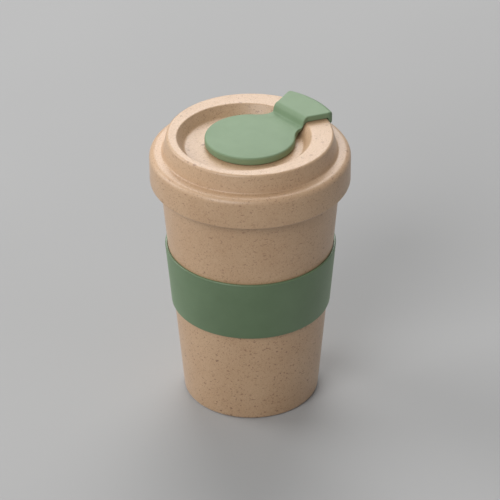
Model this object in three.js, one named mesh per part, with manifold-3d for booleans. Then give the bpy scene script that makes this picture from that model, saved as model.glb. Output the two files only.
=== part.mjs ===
// A tapered drinking cup of wheat-straw plastic with a silicone grip band, a push-on lid and a silicone flap
// that closes the sip slot. Millimetres, +Z up. The origin is the centre of the foot, on the surface the cup
// stands on, and the flap opens towards +X.
import * as THREE from 'three';
import { mergeVertices } from 'three/addons/utils/BufferGeometryUtils.js';
import Module from 'manifold-3d';

const wasm = await Module();
wasm.setup();

// Clearances
const fitGap = 0.3; // between pieces that seat on each other
const bandGap = 0.15; // between the stretched band and the cup

// Cup
const footRadius = 33.0; // outside, where the wall would meet the table
const mouthRadius = 43.6; // outside, where the wall would meet the rim's height
const rimHeight = 129.5;
const cupWall = 2.4;
const floorThickness = 3.0;
const underHollowDepth = 1.2; // the hollow under the floor that leaves a foot ring
const footRingWidth = 4.5;
const footRound = 1.6;
const insideRound = 5.0; // where the wall meets the floor inside
const beadProud = 1.2; // how far the rim's bead stands out of the wall
const beadHeight = 3.6;
const beadRound = 1.1;

// Grip band
const bandBottom = 50.7;
const bandHeight = 31.7;
const bandThickness = 1.15;
const bandRound = 0.45;

// Lid
const collarWall = 2.35;
const collarDrop = 12.5; // how far the collar hangs below the rim
const collarTopRound = 3.0;
const collarFootRound = 1.1;
const shoulderThickness = 2.6;
const shoulderWidth = 6.2; // from the collar's outside to the ring
const ringHeight = 8.6;
const ringDraft = 2.1; // how much narrower the ring is at its top
const ringRound = 1.3;
const ringFootRound = 0.8;
const lidWall = 2.2;
const skirtDepth = 10.3; // the inner skirt, which plugs the cup's mouth
const skirtWall = 2.6;
const skirtGap = 0.85; // from the skirt to the cup's wall, which the seal bridges
const skirtRound = 0.8;

// Recess in the ring, off centre so that one side of the ring is wide enough for the sip slot
const recessOffset = 3.8;
const recessRadius = 31.5; // at the top
const recessFloorRadius = 28.2;
const recessDepth = 5.4;
const recessRound = 1.8;
const recessEdge = 0.5; // bevel round the top of the recess

// Sip slot
const slotReach = 33.2; // from the lid's axis to the slot's middle
const slotLength = 15.0;
const slotWidth = 4.8;

// Lid seal
const sealHeight = 3.0;
const sealRise = 4.5; // from the skirt's foot to the seal's middle
const grooveDepth = 1.3;
const sealRound = 0.7;

// Flap: its disc and the stud that holds it
const discRadius = 21.3;
const discThickness = 3.7;
const discRound = 1.2;
const discCrown = 1.2; // how far the middle of the disc's domed top stands above its edge
const discSeat = 0.2; // the disc's clearance over the recess floor
const studRadius = 4.0;
const studHeadRadius = 5.6;
const studHeadHeight = 2.4;

// Flap: its strap, bent over the ring
const strapHalfAngle = THREE.MathUtils.degToRad(21.3);
const strapWaist = 10.5; // half the strap's width where it leaves the disc
const strapThickness = 2.9;
const strapCrestRound = 1.8; // where the riser turns into the strap's top
const strapFootRound = 1.6; // where the riser leaves the disc's level
const strapEdgeRound = 2.2; // the strap's outer top edge
const strapCornerRound = 2.0; // the lip's corners, seen from above
const hingeSetback = 0.7; // how far the strap's sides reach back past the disc's edge
const hingeWeb = 1.6; // thickness of the strap where it bends
const hingeLength = 1.0; // flat length of the bend
const riserRun = 2.7; // how far the strap moves outwards while it climbs to its top
const lipThickness = 2.3;
const lipDrop = 6.4; // from the strap's top to the lip's end
const lipRound = 0.8;
const plugDepth = 4.0;
const plugDraft = 0.3; // how much narrower the plug is at its end, on each side

// Facets
const turnSteps = 64; // round a full turn
const arcSteps = 3; // round a rounded corner

// Heights and radii that follow from the sizes above
const cupFloorTop = underHollowDepth + floorThickness;
const shoulderUnderside = rimHeight + fitGap;
const shoulderTop = shoulderUnderside + shoulderThickness;
const collarBottom = rimHeight - collarDrop;
const collarInside = mouthRadius + beadProud + fitGap;
const collarOutside = collarInside + collarWall;
const ringTop = shoulderTop + ringHeight;
const ringBaseRadius = collarOutside - shoulderWidth;
const ringTopRadius = ringBaseRadius - ringDraft;
const recessFloor = ringTop - recessDepth;
const skirtBottom = shoulderUnderside - skirtDepth;
const skirtOutside = cupInside(skirtBottom) - skirtGap;
const skirtInside = skirtOutside - skirtWall;
const grooveRadius = skirtOutside - grooveDepth;
const sealMiddle = skirtBottom + sealRise;
const sealBottom = sealMiddle - sealHeight / 2;
const sealTop = sealMiddle + sealHeight / 2;
const sealOutside = cupInside(sealBottom) - fitGap;
const discBottom = recessFloor + discSeat;
const discTop = discBottom + discThickness;
const hingeReach = discRadius - hingeSetback;
const strapUnderside = ringTop + fitGap;
const strapTop = strapUnderside + strapThickness;

// Outer radius of the cup's tapered wall at a height.
function cupOutside(height) {
  return footRadius + ((mouthRadius - footRadius) * height) / rimHeight;
}

// Inner radius of the cup's tapered wall at a height.
function cupInside(height) {
  return cupOutside(height) - cupWall;
}

// Outer radius of the lid's tapered ring at a height.
function ringOutside(height) {
  return ringBaseRadius - (ringDraft * (height - shoulderTop)) / ringHeight;
}

// Radius of the recess's sloping wall at a height, about the recess's own axis.
function recessInside(height) {
  const climb = (height - recessFloor) / recessDepth;
  return recessFloorRadius + (recessRadius - recessFloorRadius) * climb;
}

// Distance from the lid's axis to the recess's wall at a height, on the flap's side.
function recessOnFlapSide(height) {
  return recessInside(height) - recessOffset;
}

// A corner of a closed outline, rounded to a radius.
function corner(x, y, radius = 0) {
  return { at: new THREE.Vector2(x, y), radius };
}

// The points of a closed outline, with an arc at each rounded corner, less than half as long as either side.
function outline(corners) {
  const points = [];
  corners.forEach(({ at, radius }, i) => {
    const toBefore = corners.at(i - 1).at.clone().sub(at);
    const toAfter = corners[(i + 1) % corners.length].at.clone().sub(at);
    if (radius === 0) {
      points.push(at);
      return;
    }
    const room = 0.48 * Math.min(toBefore.length(), toAfter.length());
    toBefore.normalize();
    toAfter.normalize();
    const half = Math.acos(toBefore.dot(toAfter)) / 2;
    const reach = Math.min(radius / Math.tan(half), room);
    const bulge = reach / Math.cos(half);
    const centre = toBefore.clone().add(toAfter).setLength(bulge).add(at);
    const start = at.clone().addScaledVector(toBefore, reach).sub(centre);
    const end = at.clone().addScaledVector(toAfter, reach).sub(centre);
    const turn = Math.atan2(start.cross(end), start.dot(end));
    for (let step = 0; step <= arcSteps; step += 1) {
      const spoke = start.clone().rotateAround(new THREE.Vector2(), (turn * step) / arcSteps);
      points.push(spoke.add(centre));
    }
  });
  return points;
}

// Turns a closed outline of radius and height about the Z axis.
function revolve(corners) {
  const points = outline(corners);
  points.push(points[0].clone());
  const lathe = new THREE.LatheGeometry(points, turnSteps);
  return lathe.rotateX(Math.PI / 2);
}

// Raises an outline seen from above from one height to another.
function raise(points, bottom, top) {
  const shape = new THREE.Shape(points);
  const block = new THREE.ExtrudeGeometry(shape, { depth: top - bottom, bevelEnabled: false });
  return block.translate(0, 0, bottom);
}

// A closed geometry as a solid that can be joined and cut.
function solid(geometry) {
  const bare = geometry.clone();
  bare.deleteAttribute('normal');
  bare.deleteAttribute('uv');
  const welded = mergeVertices(bare);
  const triangles = [];
  for (let i = 0; i < welded.index.count; i += 3) {
    const [a, b, c] = welded.index.array.subarray(i, i + 3);
    if (a !== b && b !== c && c !== a) triangles.push(a, b, c);
  }
  const vertProperties = new Float32Array(welded.attributes.position.array);
  const triVerts = new Uint32Array(triangles);
  return new wasm.Manifold(new wasm.Mesh({ numProp: 3, vertProperties, triVerts }));
}

// A joined or cut solid as a geometry.
function geometryOf(body) {
  const { vertProperties, triVerts } = body.getMesh();
  const geometry = new THREE.BufferGeometry();
  geometry.setAttribute('position', new THREE.BufferAttribute(vertProperties, 3));
  geometry.setIndex(new THREE.BufferAttribute(triVerts, 1));
  return geometry;
}

// The cup: a tapered wall on a foot ring, with a bead round the rim.
function makeCupBody() {
  const hollowRadius = footRadius - footRingWidth;
  const beadBottom = rimHeight - beadHeight;
  const beadRadius = mouthRadius + beadProud;
  return revolve([
    corner(0, underHollowDepth),
    corner(hollowRadius - underHollowDepth, underHollowDepth),
    corner(hollowRadius, 0),
    corner(footRadius, 0, footRound),
    corner(cupOutside(beadBottom - beadProud), beadBottom - beadProud),
    corner(beadRadius, beadBottom, beadRound),
    corner(beadRadius, rimHeight, beadRound),
    corner(cupInside(rimHeight), rimHeight, beadRound),
    corner(cupInside(cupFloorTop), cupFloorTop, insideRound),
    corner(0, cupFloorTop),
  ]);
}

// The grip band: a sleeve with the cup's own taper and soft edges.
function makeGripBand() {
  const bandTop = bandBottom + bandHeight;
  const inside = (height) => cupOutside(height) + bandGap;
  const outside = (height) => inside(height) + bandThickness;
  return revolve([
    corner(inside(bandBottom), bandBottom),
    corner(outside(bandBottom), bandBottom, bandRound),
    corner(outside(bandTop), bandTop, bandRound),
    corner(inside(bandTop), bandTop),
  ]);
}

// The lid's outer form: inner skirt with the seal's groove, channel for the rim, collar, shoulder and ring.
function lidForm() {
  return revolve([
    corner(0, skirtBottom),
    corner(skirtOutside, skirtBottom, skirtRound),
    corner(skirtOutside, sealBottom - fitGap),
    corner(grooveRadius, sealBottom - fitGap),
    corner(grooveRadius, sealTop + fitGap),
    corner(skirtOutside, sealTop + fitGap),
    corner(skirtOutside, shoulderUnderside),
    corner(collarInside, shoulderUnderside),
    corner(collarInside, collarBottom),
    corner(collarOutside, collarBottom, collarFootRound),
    corner(collarOutside, shoulderTop, collarTopRound),
    corner(ringBaseRadius, shoulderTop, ringFootRound),
    corner(ringTopRadius, ringTop, ringRound),
    corner(0, ringTop),
  ]);
}

// The hollow under the lid, before the bowl of the recess hangs into it.
function lidHollow() {
  const openEnd = skirtBottom - skirtWall;
  return revolve([
    corner(0, openEnd),
    corner(skirtInside, openEnd),
    corner(skirtInside, ringTop - lidWall, recessRound),
    corner(0, ringTop - lidWall),
  ]);
}

// The bowl that the recess is sunk into, one lid wall outside it.
function recessBowl() {
  const bowlBottom = recessFloor - lidWall;
  return revolve([
    corner(0, bowlBottom),
    corner(recessInside(bowlBottom) + lidWall, bowlBottom, recessRound),
    corner(recessRadius + lidWall, ringTop),
    corner(0, ringTop),
  ]).translate(-recessOffset, 0, 0);
}

// The space inside the recess, with a bevel where it meets the ring's top.
function recessSpace() {
  return revolve([
    corner(0, recessFloor),
    corner(recessFloorRadius, recessFloor, recessRound),
    corner(recessInside(ringTop - recessEdge), ringTop - recessEdge),
    corner(recessRadius + recessEdge, ringTop),
    corner(recessRadius + 2 * recessEdge, ringTop + recessEdge),
    corner(0, ringTop + recessEdge),
  ]).translate(-recessOffset, 0, 0);
}

// A slot's outline with round ends, across the flap's direction.
function slotOutline(length, width) {
  const near = slotReach - width / 2;
  const far = slotReach + width / 2;
  return outline([
    corner(near, -length / 2, width / 2),
    corner(far, -length / 2, width / 2),
    corner(far, length / 2, width / 2),
    corner(near, length / 2, width / 2),
  ]);
}

// The lid: its form hollowed out from below, with the recess, the sip slot and the stud's hole.
function makeLidShell() {
  const slot = raise(slotOutline(slotLength, slotWidth), recessFloor, ringTop + fitGap);
  const holeRadius = studRadius + fitGap;
  const holeEnd = recessFloor - lidWall - fitGap;
  const hole = revolve([
    corner(0, holeEnd),
    corner(holeRadius, holeEnd),
    corner(holeRadius, recessFloor + fitGap),
    corner(0, recessFloor + fitGap),
  ]);
  const hollow = solid(lidHollow()).subtract(solid(recessBowl()));
  const shell = solid(lidForm()).subtract(hollow).subtract(solid(recessSpace()));
  return geometryOf(shell.subtract(solid(slot)).subtract(solid(hole)));
}

// The seal: a ring that fills the skirt's groove and reaches out to the cup's wall.
function makeLidSeal() {
  const sealInside = grooveRadius + fitGap;
  return revolve([
    corner(sealInside, sealBottom),
    corner(sealOutside, sealBottom, sealRound),
    corner(sealOutside, sealTop, sealRound),
    corner(sealInside, sealTop),
  ]);
}

// The flap's fixed half: a thick domed disc in the recess, held by a stud with a wide head under the floor.
function makeFlapDisc() {
  const headTop = recessFloor - lidWall - fitGap;
  const headBottom = headTop - studHeadHeight;
  const onDome = (share) => corner(discRadius * share, discTop + discCrown * (1 - share ** 2));
  return revolve([
    corner(0, headBottom),
    corner(studRadius, headBottom),
    corner(studHeadRadius, headTop - studHeadHeight / 3),
    corner(studHeadRadius, headTop),
    corner(studRadius, headTop),
    corner(studRadius, discBottom),
    corner(discRadius, discBottom),
    corner(discRadius, discTop, discRound),
    onDome(0.75),
    onDome(0.5),
    onDome(0.25),
    onDome(0),
  ]);
}

// The strap's section turned all the way round: back of the riser, top over the ring, and lip.
function strapTurned() {
  const inner = discRadius + fitGap;
  const webBottom = discTop - hingeWeb;
  const lipBottom = strapTop - lipDrop;
  const lipInside = ringOutside(lipBottom) + fitGap;
  const lipOutside = lipInside + lipThickness;
  const backOfRiser = (height) => recessOnFlapSide(height) - fitGap;
  return revolve([
    corner(inner, webBottom),
    corner(backOfRiser(webBottom), webBottom),
    corner(backOfRiser(ringTop - recessEdge), ringTop - recessEdge),
    corner(recessOnFlapSide(ringTop) + recessEdge, strapUnderside),
    corner(ringTopRadius, strapUnderside),
    corner(ringOutside(ringTop - ringRound) + fitGap, ringTop - ringRound),
    corner(lipInside, lipBottom, lipRound),
    corner(lipOutside, lipBottom, lipRound),
    corner(lipOutside, strapTop, strapEdgeRound),
    corner(inner, strapTop),
  ]);
}

// The strap seen from its side: flat at the bend, a straight riser and the level of its top.
function strapProfile() {
  const riserFoot = discRadius + fitGap + hingeLength;
  const profile = outline([
    corner(0, recessFloor),
    corner(collarOutside, recessFloor),
    corner(collarOutside, strapTop),
    corner(riserFoot + riserRun, strapTop, strapCrestRound),
    corner(riserFoot, discTop, strapFootRound),
    corner(0, discTop),
  ]);
  return raise(profile, -collarOutside, collarOutside).rotateX(Math.PI / 2);
}

// The strap seen from above: straight at the waist, then a fan with rounded outer corners.
function strapFan() {
  const lipOutside = ringOutside(strapTop - lipDrop) + fitGap + lipThickness;
  const cornerX = lipOutside * Math.cos(strapHalfAngle);
  const cornerY = lipOutside * Math.sin(strapHalfAngle);
  const frontY = lipOutside * Math.tan(strapHalfAngle / 2);
  const waistReach = strapWaist / Math.tan(strapHalfAngle);
  const fan = outline([
    corner(hingeReach, -strapWaist),
    corner(waistReach, -strapWaist),
    corner(cornerX, -cornerY, strapCornerRound),
    corner(lipOutside, -frontY),
    corner(lipOutside, frontY),
    corner(cornerX, cornerY, strapCornerRound),
    corner(waistReach, strapWaist),
    corner(hingeReach, strapWaist),
  ]);
  return raise(fan, recessFloor, strapTop + fitGap);
}

// The plug under the strap, tapered towards its end, which closes the sip slot.
function strapPlug() {
  const length = slotLength - 2 * fitGap;
  const width = slotWidth - 2 * fitGap;
  const buried = strapThickness / 2;
  const plugEnd = strapUnderside - plugDepth;
  const plug = raise(slotOutline(length, width), plugEnd, strapUnderside + buried);
  const place = plug.attributes.position;
  for (let i = 0; i < place.count; i += 1) {
    if (place.getZ(i) < strapUnderside) {
      place.setX(i, slotReach + (place.getX(i) - slotReach) * (1 - (2 * plugDraft) / width));
      place.setY(i, place.getY(i) * (1 - (2 * plugDraft) / length));
    }
  }
  return plug;
}

// The flap's moving half: the fan-shaped strap with its lip and plug.
function makeFlapStrap() {
  const strap = solid(strapTurned()).intersect(solid(strapFan())).intersect(solid(strapProfile()));
  return geometryOf(strap.add(solid(strapPlug())));
}

const wheatStraw = { color: 0xb4967a, roughness: 0.6, metalness: 0 };
const sageSilicone = { color: 0x8aa082, roughness: 0.75, metalness: 0 };
const darkSageSilicone = { color: 0x687e62, roughness: 0.75, metalness: 0 };
const sealSilicone = { color: 0xe6e2d8, roughness: 0.7, metalness: 0 };

// A named piece with its own material.
function piece(name, geometry, finish) {
  const mesh = new THREE.Mesh(geometry, new THREE.MeshStandardMaterial(finish));
  mesh.name = name;
  return mesh;
}

const tumbler = new THREE.Group();
tumbler.add(piece('cup_body', makeCupBody(), wheatStraw));
tumbler.add(piece('grip_band', makeGripBand(), darkSageSilicone));

const lid = new THREE.Group();
lid.add(piece('lid_shell', makeLidShell(), wheatStraw));
lid.add(piece('lid_seal', makeLidSeal(), sealSilicone));
lid.add(piece('flap_disc', makeFlapDisc(), sageSilicone));
lid.add(piece('flap_strap', makeFlapStrap(), sageSilicone));
tumbler.add(lid);

export default tumbler;
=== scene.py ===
import math

import bpy
from mathutils import Matrix, Vector


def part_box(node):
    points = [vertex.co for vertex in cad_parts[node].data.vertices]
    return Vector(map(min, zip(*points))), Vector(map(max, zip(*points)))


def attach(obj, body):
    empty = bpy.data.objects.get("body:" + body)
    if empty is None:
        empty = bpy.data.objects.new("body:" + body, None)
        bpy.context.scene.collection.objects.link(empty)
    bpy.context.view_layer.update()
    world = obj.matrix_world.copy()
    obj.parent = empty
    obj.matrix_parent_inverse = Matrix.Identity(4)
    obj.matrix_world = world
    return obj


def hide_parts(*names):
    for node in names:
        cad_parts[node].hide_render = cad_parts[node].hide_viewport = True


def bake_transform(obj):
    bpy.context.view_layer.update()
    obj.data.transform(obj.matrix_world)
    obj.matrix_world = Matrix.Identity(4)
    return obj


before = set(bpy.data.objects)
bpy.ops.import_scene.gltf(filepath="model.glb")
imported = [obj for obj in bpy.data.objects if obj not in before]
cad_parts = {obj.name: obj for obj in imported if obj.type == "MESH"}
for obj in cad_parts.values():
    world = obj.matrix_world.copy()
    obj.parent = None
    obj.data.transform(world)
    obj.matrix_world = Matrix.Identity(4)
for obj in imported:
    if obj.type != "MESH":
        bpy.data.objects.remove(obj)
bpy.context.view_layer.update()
print("frame loaded:", ", ".join(sorted(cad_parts)))

mm = 0.001


# small helpers

def leaveAll():
    bpy.ops.object.select_all(action="DESELECT")


def startPiece(name):  # the primitive that was just added becomes the piece, with its place in its mesh
    piece = bpy.context.object
    piece.name = name
    piece.data.name = name
    bpy.ops.object.transform_apply(location=True, rotation=True, scale=True)
    return piece


def editAll():
    bpy.ops.object.mode_set(mode="EDIT")
    bpy.ops.mesh.select_all(action="SELECT")


def closeSkin():  # weld, point every face outwards, back to object mode
    bpy.ops.mesh.select_all(action="SELECT")
    bpy.ops.mesh.remove_doubles(threshold=0.001 * mm)
    bpy.ops.mesh.normals_make_consistent(inside=False)
    bpy.ops.object.mode_set(mode="OBJECT")


def applyModifier(piece, kind, **settings):
    leaveAll()
    piece.select_set(True)
    bpy.context.view_layer.objects.active = piece
    modifier = piece.modifiers.new(kind.title(), kind)
    for setting, value in settings.items():
        setattr(modifier, setting, value)
    bpy.ops.object.modifier_apply(modifier=modifier.name)


def cutWith(piece, cutter, operation):
    applyModifier(piece, "BOOLEAN", object=cutter, operation=operation, solver="EXACT")
    bpy.data.objects.remove(cutter)


def softShade(piece, degrees=40):
    leaveAll()
    piece.select_set(True)
    bpy.context.view_layer.objects.active = piece
    bpy.ops.object.shade_smooth_by_angle(angle=math.radians(degrees))


def roundOff(corners, steps, loop):  # (radius, height, shift, bend) corners to rings, each bend an arc
    rings = []
    for i, (radius, height, shift, bend) in enumerate(corners):
        atEnd = not loop and i in (0, len(corners) - 1)
        if bend == 0 or atEnd:
            rings.append((radius, height, shift))
            continue
        here = Vector((radius, height))
        before = Vector(corners[i - 1][:2]) - here
        after = Vector(corners[(i + 1) % len(corners)][:2]) - here
        most = 0.48 * min(before.length, after.length)  # leaves the other half to the next corner
        half = before.angle(after) / 2
        reach = min(bend / math.tan(half), most)
        before.normalize()
        after.normalize()
        centre = here + (before + after).normalized() * (reach / math.cos(half))
        start = here + before * reach - centre
        end = here + after * reach - centre
        turn = start.angle_signed(end)
        for step in range(steps + 1):
            spoke = Matrix.Rotation(-turn * step / steps, 2) @ start + centre
            rings.append((spoke.x, spoke.y, shift))
    return rings


def turnPiece(name, corners, sides, steps=6, loop=True):  # a round piece grown ring by ring, sizes in mm
    rings = roundOff(corners, steps, loop)
    radius, height, shift = rings[0]
    leaveAll()
    bpy.ops.mesh.primitive_circle_add(
        vertices=sides, radius=radius * mm, location=(shift * mm, 0, height * mm)
    )
    piece = startPiece(name)
    editAll()
    laterRings = rings[1:] + rings[:1] if loop else rings[1:]
    for nextRadius, nextHeight, nextShift in laterRings:
        move = ((nextShift - shift) * mm, 0, (nextHeight - height) * mm)
        bpy.ops.mesh.extrude_edges_move(TRANSFORM_OT_translate={"value": move})
        grow = nextRadius / radius
        bpy.ops.transform.resize(
            value=(grow, grow, 1), center_override=(nextShift * mm, 0, nextHeight * mm)
        )
        radius, height, shift = nextRadius, nextHeight, nextShift
    if not loop:
        bpy.ops.mesh.select_all(action="SELECT")
        bpy.ops.mesh.fill_holes(sides=0)
    closeSkin()
    return piece


def finishPiece(piece, body, slot, material, *nodes):
    piece.data.materials.clear()
    piece.data.materials.append(material)
    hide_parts(*nodes)
    if body:
        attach(piece, body)


def colour(red, green, blue):  # screen colour, 0 to 255, as the linear colour that shaders take
    def linear(value):
        value = value / 255
        return value / 12.92 if value <= 0.04045 else ((value + 0.055) / 1.055) ** 2.4

    return (linear(red), linear(green), linear(blue), 1)


# materials

noiseSpan = (0.3, 0.7)  # most values of a noise texture lie between these
sharpSpan = (0.38, 0.62)  # the same, for more contrast


def newMaterial(name):
    material = bpy.data.materials.new(name)
    material.use_nodes = True
    nodes = material.node_tree.nodes
    return material, nodes, material.node_tree.links, nodes["Principled BSDF"]


def addNoise(nodes, links, place, scale, detail, roughness=0.55):
    noise = nodes.new("ShaderNodeTexNoise")
    noise.inputs["Scale"].default_value = scale
    noise.inputs["Detail"].default_value = detail
    noise.inputs["Roughness"].default_value = roughness
    links.new(place, noise.inputs["Vector"])
    return noise.outputs["Fac"]


def addRange(nodes, links, value, lowIn, highIn, lowOut, highOut):
    ranger = nodes.new("ShaderNodeMapRange")
    ranger.inputs["From Min"].default_value = lowIn
    ranger.inputs["From Max"].default_value = highIn
    ranger.inputs["To Min"].default_value = lowOut
    ranger.inputs["To Max"].default_value = highOut
    links.new(value, ranger.inputs["Value"])
    return ranger.outputs["Result"]


def addMath(nodes, links, operation, first, second):
    sums = nodes.new("ShaderNodeMath")
    sums.operation = operation
    for socket, value in zip(sums.inputs, (first, second)):
        if isinstance(value, (int, float)):
            socket.default_value = value
        else:
            links.new(value, socket)
    return sums.outputs[0]


def addMix(nodes, links, share, first, second):
    mixer = nodes.new("ShaderNodeMix")
    mixer.data_type = "RGBA"
    sockets = [socket for socket in mixer.inputs if socket.type == "RGBA"]
    for socket, value in zip(sockets, (first, second)):
        if isinstance(value, tuple):
            socket.default_value = value
        else:
            links.new(value, socket)
    links.new(share, mixer.inputs["Factor"])
    return next(socket for socket in mixer.outputs if socket.type == "RGBA")


def addBump(nodes, links, height, strength, distance):
    bump = nodes.new("ShaderNodeBump")
    bump.inputs["Strength"].default_value = strength
    bump.inputs["Distance"].default_value = distance * mm
    links.new(height, bump.inputs["Height"])
    return bump.outputs["Normal"]


strawLook = {
    "body": (183, 147, 112),
    "pale": (200, 168, 134),
    "speck": (120, 76, 50),
    "deepSpeck": (96, 54, 36),
    "fine": (1500, 0.95, 0.5, 0.22, 0.5),  # cells per metre, share with a dot, dot size, softness, depth
    "middle": (640, 0.75, 0.42, 0.2, 0.6),
    "large": (400, 0.6, 0.27, 0.12, 0.66),
    "fibre": (0.6, 0.3, 0.1, 0.55),  # the last four of these for the dashes
    "fibreCells": (240, 240, 900),  # short in height, long round the cup
    "heavyBelow": (0.03, 0.11),  # the larger dots grow faint between these heights, in metres
    "faint": 0.45,  # what is left of them above
    "wobble": (1100, 1.2),  # noise that pulls the dots out of round: cells per metre, pull in mm
    "cloud": (60, 0.4),  # slow change of tone: cells per metre, share of the pale tone
    "grain": (1300, 0.6),  # the same for the fine grain
    "shine": (700, 0.4, 0.49),  # cells per metre, least and most roughness
    "grit": (1800, 0.18, 0.12),  # cells per metre, strength, height in mm
    "specular": 0.85,
    "sheen": (0.15, 0.35),  # weight, roughness
}


def addSpecks(nodes, links, place, scale, share, size, softness):  # scattered dots, 1 inside a dot
    cells = nodes.new("ShaderNodeTexVoronoi")
    cells.inputs["Scale"].default_value = scale
    links.new(place, cells.inputs["Vector"])
    split = nodes.new("ShaderNodeSeparateColor")
    links.new(cells.outputs["Color"], split.inputs["Color"])
    reach = addRange(nodes, links, split.outputs["Red"], 1 - share, 1, 0, size)
    inside = addMath(nodes, links, "SUBTRACT", reach, cells.outputs["Distance"])
    return addRange(nodes, links, inside, 0, softness, 0, 1)


def addStrawTone(nodes, links, place):  # slow clouds and a fine grain between the two straw colours
    cells, share = strawLook["cloud"]
    cloud = addNoise(nodes, links, place, cells, detail=3)
    cloud = addRange(nodes, links, cloud, *noiseSpan, 0, share)
    cells, share = strawLook["grain"]
    grain = addNoise(nodes, links, place, cells, detail=5, roughness=0.75)
    grain = addRange(nodes, links, grain, *sharpSpan, 0, share)
    blend = addMath(nodes, links, "ADD", cloud, grain)
    return addMix(nodes, links, blend, colour(*strawLook["body"]), colour(*strawLook["pale"]))


def addWobble(nodes, links, place):  # the place pulled about, so that no dot is quite round
    cells, reach = strawLook["wobble"]
    wobble = nodes.new("ShaderNodeTexNoise")
    wobble.inputs["Scale"].default_value = cells
    wobble.inputs["Detail"].default_value = 2
    links.new(place, wobble.inputs["Vector"])
    pull = nodes.new("ShaderNodeVectorMath")
    pull.operation = "MULTIPLY_ADD"
    pull.inputs[1].default_value = (reach * mm, reach * mm, reach * mm)
    links.new(wobble.outputs["Color"], pull.inputs[0])
    links.new(place, pull.inputs[2])
    return pull.outputs[0]


def addStrawBits(nodes, links, place, skin):  # dots of three sizes and short dashes over the tone
    pulled = addWobble(nodes, links, place)
    parts = nodes.new("ShaderNodeSeparateXYZ")
    links.new(place, parts.inputs[0])
    heavy = addRange(nodes, links, parts.outputs["Z"], *strawLook["heavyBelow"], 1, strawLook["faint"])
    for size, tone in (("fine", "speck"), ("middle", "speck"), ("large", "deepSpeck")):
        cells, share, reach, softness, depth = strawLook[size]
        dots = addSpecks(nodes, links, pulled, cells, share, reach, softness)
        if size != "fine":
            dots = addMath(nodes, links, "MULTIPLY", dots, heavy)
        cover = addMath(nodes, links, "MULTIPLY", dots, depth)
        skin = addMix(nodes, links, cover, skin, colour(*strawLook[tone]))
    stretch = nodes.new("ShaderNodeVectorMath")
    stretch.operation = "MULTIPLY"
    stretch.inputs[1].default_value = strawLook["fibreCells"]
    links.new(pulled, stretch.inputs[0])
    share, reach, softness, depth = strawLook["fibre"]
    dashes = addSpecks(nodes, links, stretch.outputs[0], 1, share, reach, softness)
    cover = addMath(nodes, links, "MULTIPLY", dashes, depth)
    return addMix(nodes, links, cover, skin, colour(*strawLook["speck"]))


def makeStraw():
    material, nodes, links, shader = newMaterial("speckledWheatStraw")
    place = nodes.new("ShaderNodeTexCoord").outputs["Object"]
    skin = addStrawTone(nodes, links, place)
    skin = addStrawBits(nodes, links, place, skin)
    links.new(skin, shader.inputs["Base Color"])
    cells, *limits = strawLook["shine"]
    shine = addNoise(nodes, links, place, cells, detail=4)
    links.new(addRange(nodes, links, shine, *noiseSpan, *limits), shader.inputs["Roughness"])
    cells, strength, height = strawLook["grit"]
    grit = addNoise(nodes, links, place, cells, detail=4, roughness=0.6)
    links.new(addBump(nodes, links, grit, strength, height), shader.inputs["Normal"])
    sheen, sheenRoughness = strawLook["sheen"]
    shader.inputs["Specular IOR Level"].default_value = strawLook["specular"]
    shader.inputs["Sheen Weight"].default_value = sheen
    shader.inputs["Sheen Roughness"].default_value = sheenRoughness
    return material


siliconeSkin = {
    "cloud": 90,  # cells per metre, as in the next two
    "shine": (1600, 0.03),  # cells, change of roughness up and down
    "grain": (3200, 0.08, 0.03),  # cells, strength, height in mm
    "sheenRoughness": 0.45,
}
siliconeLook = {
    "bandSilicone": {
        "deep": (88, 111, 79), "pale": (94, 117, 85), "roughness": 0.43, "specular": 0.75, "sheen": 0.9
    },
    "flapSilicone": {
        "deep": (119, 142, 111), "pale": (124, 147, 116), "roughness": 0.56, "specular": 0.36, "sheen": 0.1
    },
    "sealSilicone": {
        "deep": (222, 217, 205), "pale": (232, 228, 218), "roughness": 0.5, "specular": 0.5, "sheen": 0.1
    },
}


def makeSilicone(name):
    look = siliconeLook[name]
    deep = colour(*look["deep"])
    pale = colour(*look["pale"])
    roughness = look["roughness"]
    material, nodes, links, shader = newMaterial(name)
    place = nodes.new("ShaderNodeTexCoord").outputs["Object"]
    cloud = addNoise(nodes, links, place, siliconeSkin["cloud"], detail=3)
    tint = addMix(nodes, links, addRange(nodes, links, cloud, *noiseSpan, 0, 1), deep, pale)
    links.new(tint, shader.inputs["Base Color"])
    cells, change = siliconeSkin["shine"]
    shine = addNoise(nodes, links, place, cells, detail=3)
    gloss = addRange(nodes, links, shine, *noiseSpan, roughness - change, roughness + change)
    links.new(gloss, shader.inputs["Roughness"])
    cells, strength, height = siliconeSkin["grain"]
    grain = addNoise(nodes, links, place, cells, detail=2, roughness=0.5)
    links.new(addBump(nodes, links, grain, strength, height), shader.inputs["Normal"])
    shader.inputs["Specular IOR Level"].default_value = look["specular"]
    shader.inputs["Sheen Weight"].default_value = look["sheen"]
    shader.inputs["Sheen Roughness"].default_value = siliconeSkin["sheenRoughness"]
    shader.inputs["Sheen Tint"].default_value = pale
    return material


straw = makeStraw()
bandSilicone = makeSilicone("bandSilicone")
flapSilicone = makeSilicone("flapSilicone")
sealSilicone = makeSilicone("sealSilicone")
print("materials ready")


# cup

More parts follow.
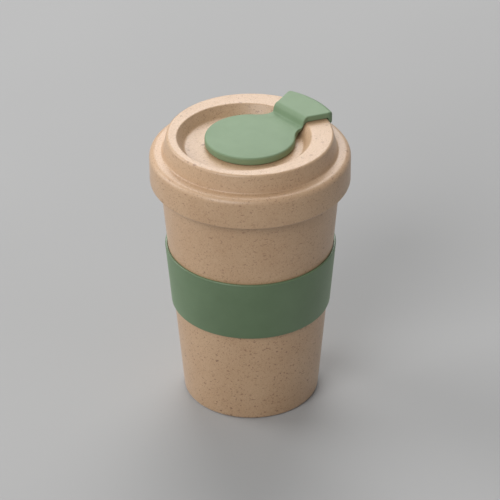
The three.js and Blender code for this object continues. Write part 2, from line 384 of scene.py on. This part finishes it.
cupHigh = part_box("cup_body")[1]
cup = {
    "foot": 33.0,  # outer radius at the table
    "mouth": 43.6,  # outer radius at the rim, without its bead
    "wall": 2.4,
    "floorTop": 4.2,
    "hollow": 1.2,  # depth of the hollow under the floor
    "ring": 4.5,  # width of the foot ring
    "beadHeight": 3.6,
    "beadSlope": 1.2,  # height of the slope up to the bead
    "slopeRound": 0.8,
    "beadRound": 1.1,
    "footRound": 1.6,
    "ringRounds": (0.6, 0.5),  # top and bottom of the foot ring's inner side
    "cornerInside": 5.0,  # rounding between floor and wall
    "sideRings": (30, 60, 90),
    "hub": 1.0,  # radius of the small face that closes each end
    "sides": 192,
}
rim = cupHigh.z / mm
bead = cupHigh.x / mm


def cupSide(height):
    return cup["foot"] + (cup["mouth"] - cup["foot"]) * height / rim


def makeCup():
    beadFoot = rim - cup["beadHeight"]
    slopeFoot = beadFoot - cup["beadSlope"]
    ringInside = cup["foot"] - cup["ring"]
    ringTopRound, ringFootRound = cup["ringRounds"]
    inside = [cupSide(height) - cup["wall"] for height in (cup["floorTop"], rim)]
    return turnPiece("cup_shell", [
        (cup["hub"], cup["hollow"], 0, 0),
        (ringInside - cup["hollow"], cup["hollow"], 0, ringTopRound),
        (ringInside, 0, 0, ringFootRound),
        (cup["foot"], 0, 0, cup["footRound"]),
        *[(cupSide(height), height, 0, 0) for height in cup["sideRings"]],
        (cupSide(slopeFoot), slopeFoot, 0, cup["slopeRound"]),
        (bead, beadFoot, 0, cup["beadRound"]),
        (bead, rim, 0, cup["beadRound"]),
        (inside[1], rim, 0, cup["beadRound"]),
        (inside[0], cup["floorTop"], 0, cup["cornerInside"]),
        (cup["hub"], cup["floorTop"], 0, 0),
    ], cup["sides"], loop=False)


cupShell = makeCup()
softShade(cupShell)
finishPiece(cupShell, "cup", "wheat_straw", straw, "cup_body")
print("cup done")


# grip band

bandLow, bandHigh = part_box("grip_band")
band = {"gap": 0.15, "thickness": 1.15, "edge": 0.5, "innerEdge": 0.2, "sides": 192}


def makeBand():
    low = bandLow.z / mm
    high = bandHigh.z / mm
    inside = [cupSide(height) + band["gap"] for height in (low, high)]
    outside = [radius + band["thickness"] for radius in inside]
    return turnPiece("grip_sleeve", [
        (inside[0], low, 0, band["innerEdge"]),
        (outside[0], low, 0, band["edge"]),
        (outside[1], high, 0, band["edge"]),
        (inside[1], high, 0, band["innerEdge"]),
    ], band["sides"])


gripSleeve = makeBand()
softShade(gripSleeve)
finishPiece(gripSleeve, "band", "band_silicone", bandSilicone, "grip_band")
print("band done")


# lid

lidLow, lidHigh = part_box("lid_shell")
lid = {
    "collarInside": 45.1,
    "shoulderTop": 132.4,
    "shoulderUnder": 129.8,
    "ringFoot": 41.25,
    "ringTopRadius": 39.15,
    "recessShift": -3.8,
    "recessRadius": 31.5,
    "recessFloorRadius": 28.2,
    "recessFloor": 135.6,
    "wall": 2.2,
    "underRing": (29.3, 0.4, 2.0),  # underside of the recess: radius, shift towards the axis, rounding
    "ceilingRing": (33.0, 0.6, 0.8),  # the same where it meets the underside of the drinking ring
    "collarRound": 3.0,
    "collarEdges": (0.6, 1.1),  # roundings of the collar's foot, inside and outside
    "cornerInside": 0.5,  # both corners under the shoulder
    "ringRound": 1.4,
    "ringFootRound": 0.9,
    "recessEdge": 0.9,
    "recessRound": 1.9,
    "holeEdge": 0.2,  # stud hole and groove
    "skirtRounds": (1.6, 0.6, 0.8),  # skirt's root, foot inside, foot outside
    "skirtFoot": 119.5,
    "skirtOutside": 39.53,
    "skirtInside": 36.93,
    "groove": (38.23, 122.2, 125.8),  # radius, bottom, top
    "studHole": 4.3,
    "slotReach": 33.2,
    "slotSize": (4.8, 15.0),
    "slotSegments": 12,  # per rounded corner
    "cutterSpare": 2.0,  # how far the slot's cutter stands out of the ring
    "sides": 192,
}


def makeLid():
    collar = lidHigh.x / mm
    collarFoot = lidLow.z / mm
    ringTop = lidHigh.z / mm
    floor = lid["recessFloor"]
    under = floor - lid["wall"]
    ceiling = ringTop - lid["wall"]
    shift = lid["recessShift"]
    underRadius, underShift, underRound = lid["underRing"]
    ceilingRadius, ceilingShift, ceilingRound = lid["ceilingRing"]
    rootRound, footInside, footOutside = lid["skirtRounds"]
    collarEdgeInside, collarEdgeOutside = lid["collarEdges"]
    hole = lid["holeEdge"]
    corner = lid["cornerInside"]
    grooveRadius, grooveLow, grooveHigh = lid["groove"]
    return turnPiece("lid_cap", [
        (lid["ringTopRadius"], ringTop, 0, lid["ringRound"]),
        (lid["recessRadius"], ringTop, shift, lid["recessEdge"]),
        (lid["recessFloorRadius"], floor, shift, lid["recessRound"]),
        (lid["studHole"], floor, 0, hole),
        (lid["studHole"], under, 0, hole),
        (underRadius, under, shift + underShift, underRound),
        (ceilingRadius, ceiling, shift + ceilingShift, ceilingRound),
        (lid["skirtInside"], ceiling, 0, rootRound),
        (lid["skirtInside"], lid["skirtFoot"], 0, footInside),
        (lid["skirtOutside"], lid["skirtFoot"], 0, footOutside),
        (lid["skirtOutside"], grooveLow, 0, hole),
        (grooveRadius, grooveLow, 0, 0),
        (grooveRadius, grooveHigh, 0, 0),
        (lid["skirtOutside"], grooveHigh, 0, hole),
        (lid["skirtOutside"], lid["shoulderUnder"], 0, corner),
        (lid["collarInside"], lid["shoulderUnder"], 0, corner),
        (lid["collarInside"], collarFoot, 0, collarEdgeInside),
        (collar, collarFoot, 0, collarEdgeOutside),
        (collar, lid["shoulderTop"], 0, lid["collarRound"]),
        (lid["ringFoot"], lid["shoulderTop"], 0, lid["ringFootRound"]),
    ], lid["sides"], steps=7)


def makeSlotBlock(name, grow, low, high):  # a block with rounded ends, the shape of the sip slot
    width = (lid["slotSize"][0] + 2 * grow) * mm
    length = (lid["slotSize"][1] + 2 * grow) * mm
    leaveAll()
    bpy.ops.mesh.primitive_plane_add(size=1, location=(lid["slotReach"] * mm, 0, low * mm))
    bpy.context.object.scale = (width, length, 1)
    block = startPiece(name)
    editAll()
    almostHalf = 0.49 * width
    bpy.ops.mesh.bevel(
        offset=almostHalf, segments=lid["slotSegments"], affect="VERTICES", offset_type="OFFSET"
    )
    bpy.ops.mesh.select_all(action="SELECT")
    bpy.ops.mesh.extrude_region_move(TRANSFORM_OT_translate={"value": (0, 0, (high - low) * mm)})
    closeSkin()
    return block


lidCap = makeLid()
slotTop = lidHigh.z / mm + lid["cutterSpare"]
cutWith(lidCap, makeSlotBlock("slot_cutter", 0, lid["recessFloor"], slotTop), "DIFFERENCE")
softShade(lidCap)
finishPiece(lidCap, "lid", "wheat_straw", straw, "lid_shell")
print("lid done")


# seal

sealLow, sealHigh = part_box("lid_seal")
seal = {"gap": 0.3, "innerRound": 0.3, "outerRound": 0.8}


def makeSeal():
    outside = sealHigh.x / mm
    inside = lid["groove"][0] + seal["gap"]
    low = sealLow.z / mm
    high = sealHigh.z / mm
    return turnPiece("seal_ring", [
        (inside, low, 0, seal["innerRound"]),
        (outside, low, 0, seal["outerRound"]),
        (outside, high, 0, seal["outerRound"]),
        (inside, high, 0, seal["innerRound"]),
    ], lid["sides"])


sealRing = makeSeal()
softShade(sealRing)
finishPiece(sealRing, "seal", "seal_silicone", sealSilicone, "lid_seal")
print("seal done")


# flap: disc, strap and plug in one silicone moulding

discLow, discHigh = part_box("flap_disc")
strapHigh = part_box("flap_strap")[1]
flap = {
    "studRadius": 4.0,
    "headRadius": 5.6,
    "headTop": 133.1,
    "headEdge": 0.8,  # height of the head's upright edge
    "studRounds": (0.5, 0.5, 0.3, 0.2, 0.3),  # from the stud's tip up to the disc
    "discBottom": 135.8,
    "discTop": 139.5,  # at the disc's edge, below the dome
    "discRounds": (0.6, 0.8),  # bottom and top edge
    "domeRings": (0.86, 0.72, 0.57, 0.42, 0.27, 0.12),  # shares of the disc's radius
    "hub": 1.0,  # radius of the small face that closes each end
    "sides": 128,
    "web": 1.8,  # thickness at the bend
    "halfAngle": math.radians(21.3),
    "waist": 10.5,  # half width where the strap leaves the disc
    "neckRound": 8.0,  # hollow corner between strap and disc, from above
    "neckSteps": 12,
    "under": 141.3,  # underside of the strap over the ring
    "underGap": 0.1,  # how much higher the strap's underside starts than the disc's
    "underFoot": (22.2, 0.8),  # where the underside starts to climb: radius, rounding
    "underClimb": [(24.8, 137.8, 0.8), (26.9, 140.5, 0.6)],  # radius, height, rounding
    "underTop": [(28.2, 0.6), (39.3, 0.9)],  # both ends over the ring: radius, rounding
    "lipThroat": (39.8, 139.7),  # radius and height where the lip turns down past the ring's edge
    "riserFoot": 23.5,
    "riserRun": 1.3,
    "footRound": 0.8,  # hollow at the riser's foot
    "crestRound": 3.0,
    "lipDrop": 6.4,
    "lipInside": 40.2,
    "lipCorner": 4.0,
    "lipRound": 3.0,  # outer edge of the top
    "lipFootRounds": (0.8, 0.9),  # inside and outside
    "turnSide": math.radians(50),  # the ring is turned this far to both sides, then cut to its plan
    "turnSteps": 60,
    "planHeight": 12.0,
    "planBelow": 1.0,  # the plan's block starts this far below the strap
    "sideSpan": (5.0, 50.0),  # past both ends of the strap
    "sideReach": 25.0,  # past both edges of the strap
    "sideAbove": 0.01,  # a hair over the strap, so that its top stays whole
    "tuck": 12.0,  # how far the strap runs into the disc
    "neckEnd": 20.2,  # where the disc's thickness ends
    "neckSlope": (0.8, 0.3),  # run of the step up to the web, rounding
    "plugDepth": 4.0,
    "plugRoot": 1.0,  # how far it runs up into the strap
    "plugGap": 0.35,
    "voxel": 0.3,
    "smoothPasses": 6,
    "shadeAngle": 80,
    "bendSpan": (1.2, 2.2),  # the bend's reach before and after the hinge
}


def makeDisc():
    radius = discHigh.x / mm
    top = flap["discTop"]
    crown = discHigh.z / mm - top
    low = discLow.z / mm
    tipRound, bulgeRound, browRound, neckRound, rootRound = flap["studRounds"]
    lowRound, highRound = flap["discRounds"]
    return turnPiece("flap", [
        (flap["hub"], low, 0, 0),
        (flap["studRadius"], low, 0, tipRound),
        (flap["headRadius"], flap["headTop"] - flap["headEdge"], 0, bulgeRound),
        (flap["headRadius"], flap["headTop"], 0, browRound),
        (flap["studRadius"], flap["headTop"], 0, neckRound),
        (flap["studRadius"], flap["discBottom"], 0, rootRound),
        (radius, flap["discBottom"], 0, lowRound),
        (radius, top, 0, highRound),
        *[(radius * share, top + crown * (1 - share ** 2), 0, 0) for share in flap["domeRings"]],
        (flap["hub"], top + crown, 0, 0),
    ], flap["sides"], steps=5, loop=False)


def drawFace(name, spots):  # a flat face, its corners drawn one by one
    leaveAll()
    bpy.ops.mesh.primitive_plane_add(size=mm, location=spots[0])
    face = startPiece(name)
    editAll()
    bpy.ops.mesh.merge(type="CENTER")  # one point left, at the first spot
    for before, after in zip(spots, spots[1:]):
        bpy.ops.mesh.extrude_vertices_move(TRANSFORM_OT_translate={"value": after - before})
    bpy.ops.mesh.select_all(action="SELECT")
    bpy.ops.mesh.edge_face_add()
    return face


def makeStrapRing():  # underside, top and lip, turned about the lid's axis
    top = strapHigh.z / mm
    lipFoot = top - flap["lipDrop"]
    lipOutside = strapHigh.x / mm
    low = flap["discBottom"] + flap["underGap"]
    underFoot, underFootRound = flap["underFoot"]
    footInside, footOutside = flap["lipFootRounds"]
    section = roundOff([
        (flap["tuck"], low, 0, 0),
        (underFoot, low, 0, underFootRound),
        *[(radius, height, 0, bend) for radius, height, bend in flap["underClimb"]],
        *[(radius, flap["under"], 0, bend) for radius, bend in flap["underTop"]],
        (*flap["lipThroat"], 0, 0),
        (flap["lipInside"], lipFoot, 0, footInside),
        (lipOutside, lipFoot, 0, footOutside),
        (lipOutside, top, 0, flap["lipRound"]),
        (flap["tuck"], top, 0, 0),
    ], steps=5, loop=True)
    side = flap["turnSide"]
    away = Vector((math.cos(side), -math.sin(side), 0))
    spots = [(away * radius + Vector((0, 0, height))) * mm for radius, height, shift in section]
    ring = drawFace("strap", spots)
    bpy.ops.mesh.spin(steps=flap["turnSteps"], angle=-2 * side, center=(0, 0, 0), axis=(0, 0, 1))
    closeSkin()
    return ring


def makeStrapPlan():  # the strap from above: hollow neck, waist and fan
    radius = discHigh.x / mm
    lipOutside = strapHigh.x / mm
    halfAngle = flap["halfAngle"]
    steps = flap["neckSteps"]
    hollow = flap["neckRound"]
    across = flap["waist"] + hollow
    along = math.sqrt((radius + hollow) ** 2 - across ** 2)
    start = math.atan2(across, along)
    edge = [Vector((flap["tuck"], radius * math.sin(start), 0))]
    for step in range(steps + 1):
        turn = start + math.pi + (math.pi / 2 - start) * step / steps
        edge.append(Vector((along + hollow * math.cos(turn), across + hollow * math.sin(turn), 0)))
    fan = roundOff([
        (flap["waist"] / math.tan(halfAngle), flap["waist"], 0, 0),
        (lipOutside * math.cos(halfAngle), lipOutside * math.sin(halfAngle), 0, flap["lipCorner"]),
        (lipOutside, lipOutside * math.tan(halfAngle / 2), 0, 0),
    ], steps=6, loop=False)
    edge.extend(Vector((x, y, 0)) for x, y, shift in fan)
    edge.extend(Vector((spot.x, -spot.y, 0)) for spot in reversed(edge[:]))
    low = Vector((0, 0, flap["discBottom"] - flap["planBelow"]))
    plan = drawFace("strap_plan", [(spot + low) * mm for spot in edge])
    bpy.ops.mesh.extrude_region_move(TRANSFORM_OT_translate={"value": (0, 0, flap["planHeight"] * mm)})
    closeSkin()
    return plan


def makeStrapSide():  # the strap from its side: disc's level, straight riser, top
    above = strapHigh.z / mm + flap["sideAbove"]
    level = flap["discTop"]
    webLow = level - flap["web"]
    inner, outer = flap["sideSpan"]
    reach = flap["sideReach"]
    neckRun, neckBend = flap["neckSlope"]
    profile = roundOff([
        (inner, flap["discBottom"], 0, 0),
        (flap["neckEnd"], flap["discBottom"], 0, 0),
        (flap["neckEnd"] + neckRun, webLow, 0, neckBend),
        (outer, webLow, 0, 0),
        (outer, above, 0, 0),
        (flap["riserFoot"] + flap["riserRun"], above, 0, flap["crestRound"]),
        (flap["riserFoot"], level, 0, flap["footRound"]),
        (inner, level, 0, 0),
    ], steps=8, loop=True)
    spots = [Vector((along, -reach, height)) * mm for along, height, shift in profile]
    side = drawFace("strap_side", spots)
    bpy.ops.mesh.extrude_region_move(TRANSFORM_OT_translate={"value": (0, 2 * reach * mm, 0)})
    closeSkin()
    return side


def makeStrap():
    strap = makeStrapRing()
    cutWith(strap, makeStrapPlan(), "INTERSECT")
    cutWith(strap, makeStrapSide(), "INTERSECT")
    return strap


def makeFlap():
    disc = makeDisc()
    strap = makeStrap()
    under = flap["under"]
    plug = makeSlotBlock("plug", -flap["plugGap"], under - flap["plugDepth"], under + flap["plugRoot"])
    leaveAll()
    for part in (plug, strap, disc):
        part.select_set(True)
    bpy.context.view_layer.objects.active = disc
    bpy.ops.object.join()
    applyModifier(disc, "REMESH", mode="VOXEL", voxel_size=flap["voxel"] * mm)
    applyModifier(disc, "SMOOTH", factor=0.5, iterations=flap["smoothPasses"])
    return disc


siliconeFlap = makeFlap()
softShade(siliconeFlap, flap["shadeAngle"])
finishPiece(siliconeFlap, None, "flap_silicone", flapSilicone, "flap_disc", "flap_strap")
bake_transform(siliconeFlap)
print("flap done")


# stage, camera and light

shot = {
    "turn": math.radians(41),  # the flap's direction, seen from above, from the picture's right
    "distance": 1.0172,
    "height": 0.7195,
    "aside": -0.0003,
    "pitch": math.radians(32.304),
    "roll": math.radians(-0.32),
    "lens": 180,
    "sensor": 36,
}


def fromView(right, away, up):  # right, away and up as the camera stands, in the part's frame
    turned = Matrix.Rotation(-shot["turn"], 3, "Z") @ Vector((right, away, 0))
    return turned + Vector((0, 0, up))


def makeCamera():
    ahead = fromView(0, math.cos(shot["pitch"]), -math.sin(shot["pitch"]))
    bpy.ops.object.camera_add(location=fromView(shot["aside"], -shot["distance"], shot["height"]))
    camera = bpy.context.object
    aim = ahead.to_track_quat("-Z", "Y").to_matrix() @ Matrix.Rotation(shot["roll"], 3, "Z")
    camera.rotation_euler = aim.to_euler()
    camera.data.lens = shot["lens"]
    camera.data.sensor_width = shot["sensor"]
    bpy.context.scene.camera = camera


ground = {
    "size": 60,
    "near": ((169, 169, 169), (173, 173, 173)),
    "far": (250, 250, 250),  # paler far away, for the light that it throws back
    "fade": (0.7, 3.5),  # distances between which it changes
    "cloud": 3,  # cells per metre
    "roughness": 0.9,
    "specular": 0.1,
    "backdrop": (188, 188, 188),  # plain tone in which the distant floor and the sky are seen
    "backdropFade": (0.5, 1.2),  # distances between which the floor takes it on
}


def addSeen(nodes, links):  # 1 for what is seen, also in a reflection or through something clear
    path = nodes.new("ShaderNodeLightPath")
    seen = addMath(nodes, links, "MAXIMUM", path.outputs["Is Camera Ray"], path.outputs["Is Glossy Ray"])
    return addMath(nodes, links, "MAXIMUM", seen, path.outputs["Is Transmission Ray"])


def addBackdrop(nodes, links, lit, kind, share, output):  # the plain tone over the lit one, by its share
    plain = nodes.new(kind)
    plain.inputs["Color"].default_value = colour(*ground["backdrop"])
    cover = nodes.new("ShaderNodeMixShader")
    links.new(share, cover.inputs[0])
    links.new(lit.outputs[0], cover.inputs[1])
    links.new(plain.outputs[0], cover.inputs[2])
    links.new(cover.outputs[0], nodes[output].inputs["Surface"])


def makeFloor():
    leaveAll()
    bpy.ops.mesh.primitive_plane_add(size=ground["size"], location=(0, 0, 0))
    floor = startPiece("floor")
    material, nodes, links, shader = newMaterial("paleFloor")
    place = nodes.new("ShaderNodeTexCoord").outputs["Object"]
    cloud = addNoise(nodes, links, place, ground["cloud"], detail=2)
    cloud = addRange(nodes, links, cloud, *noiseSpan, 0, 1)
    deep, pale = ground["near"]
    near = addMix(nodes, links, cloud, colour(*deep), colour(*pale))
    away = nodes.new("ShaderNodeVectorMath")
    away.operation = "LENGTH"
    links.new(place, away.inputs[0])
    far = addRange(nodes, links, away.outputs["Value"], *ground["fade"], 0, 1)
    tint = addMix(nodes, links, far, near, colour(*ground["far"]))
    links.new(tint, shader.inputs["Base Color"])
    shader.inputs["Roughness"].default_value = ground["roughness"]
    shader.inputs["Specular IOR Level"].default_value = ground["specular"]
    distant = addRange(nodes, links, away.outputs["Value"], *ground["backdropFade"], 0, 1)
    share = addMath(nodes, links, "MULTIPLY", addSeen(nodes, links), distant)
    addBackdrop(nodes, links, shader, "ShaderNodeEmission", share, "Material Output")
    floor.data.materials.append(material)


lamps = {  # places are right, away and up as the camera stands
    "backLight": {"place": (0, 1.9, 1.25), "size": 1.3, "power": 8},
    "highLight": {"place": (0, 1.4, 1.8), "size": 1.6, "power": 25},
    "sideLight": {"place": (-1.7, 0.5, 1.0), "size": 1.2, "power": 16},
    "frontLight": {"place": (-0.9, -1.4, 1.4), "size": 1.2, "power": 21},
}
room = {
    "tone": (252, 252, 252),
    "strength": 0.28,
    "aim": 0.08,  # height that the lamps point at
}


def addSoftbox(name, place, size, power):
    bpy.ops.object.light_add(type="AREA", location=fromView(*place))
    lamp = bpy.context.object
    lamp.name = name
    lamp.data.shape = "DISK"
    lamp.data.size = size
    lamp.data.energy = power
    toCup = Vector((0, 0, room["aim"])) - lamp.location
    lamp.rotation_euler = toCup.to_track_quat("-Z", "Y").to_euler()


def makeLight():
    for name, lamp in lamps.items():
        addSoftbox(name, **lamp)
    world = bpy.data.worlds.new("paleRoom")
    bpy.context.scene.world = world
    world.use_nodes = True
    nodes = world.node_tree.nodes
    links = world.node_tree.links
    sky = nodes["Background"]
    sky.inputs["Color"].default_value = colour(*room["tone"])
    sky.inputs["Strength"].default_value = room["strength"]
    addBackdrop(nodes, links, sky, "ShaderNodeBackground", addSeen(nodes, links), "World Output")


makeCamera()
makeFloor()
makeLight()
bpy.context.scene.view_settings.view_transform = "Standard"
print("stage ready")
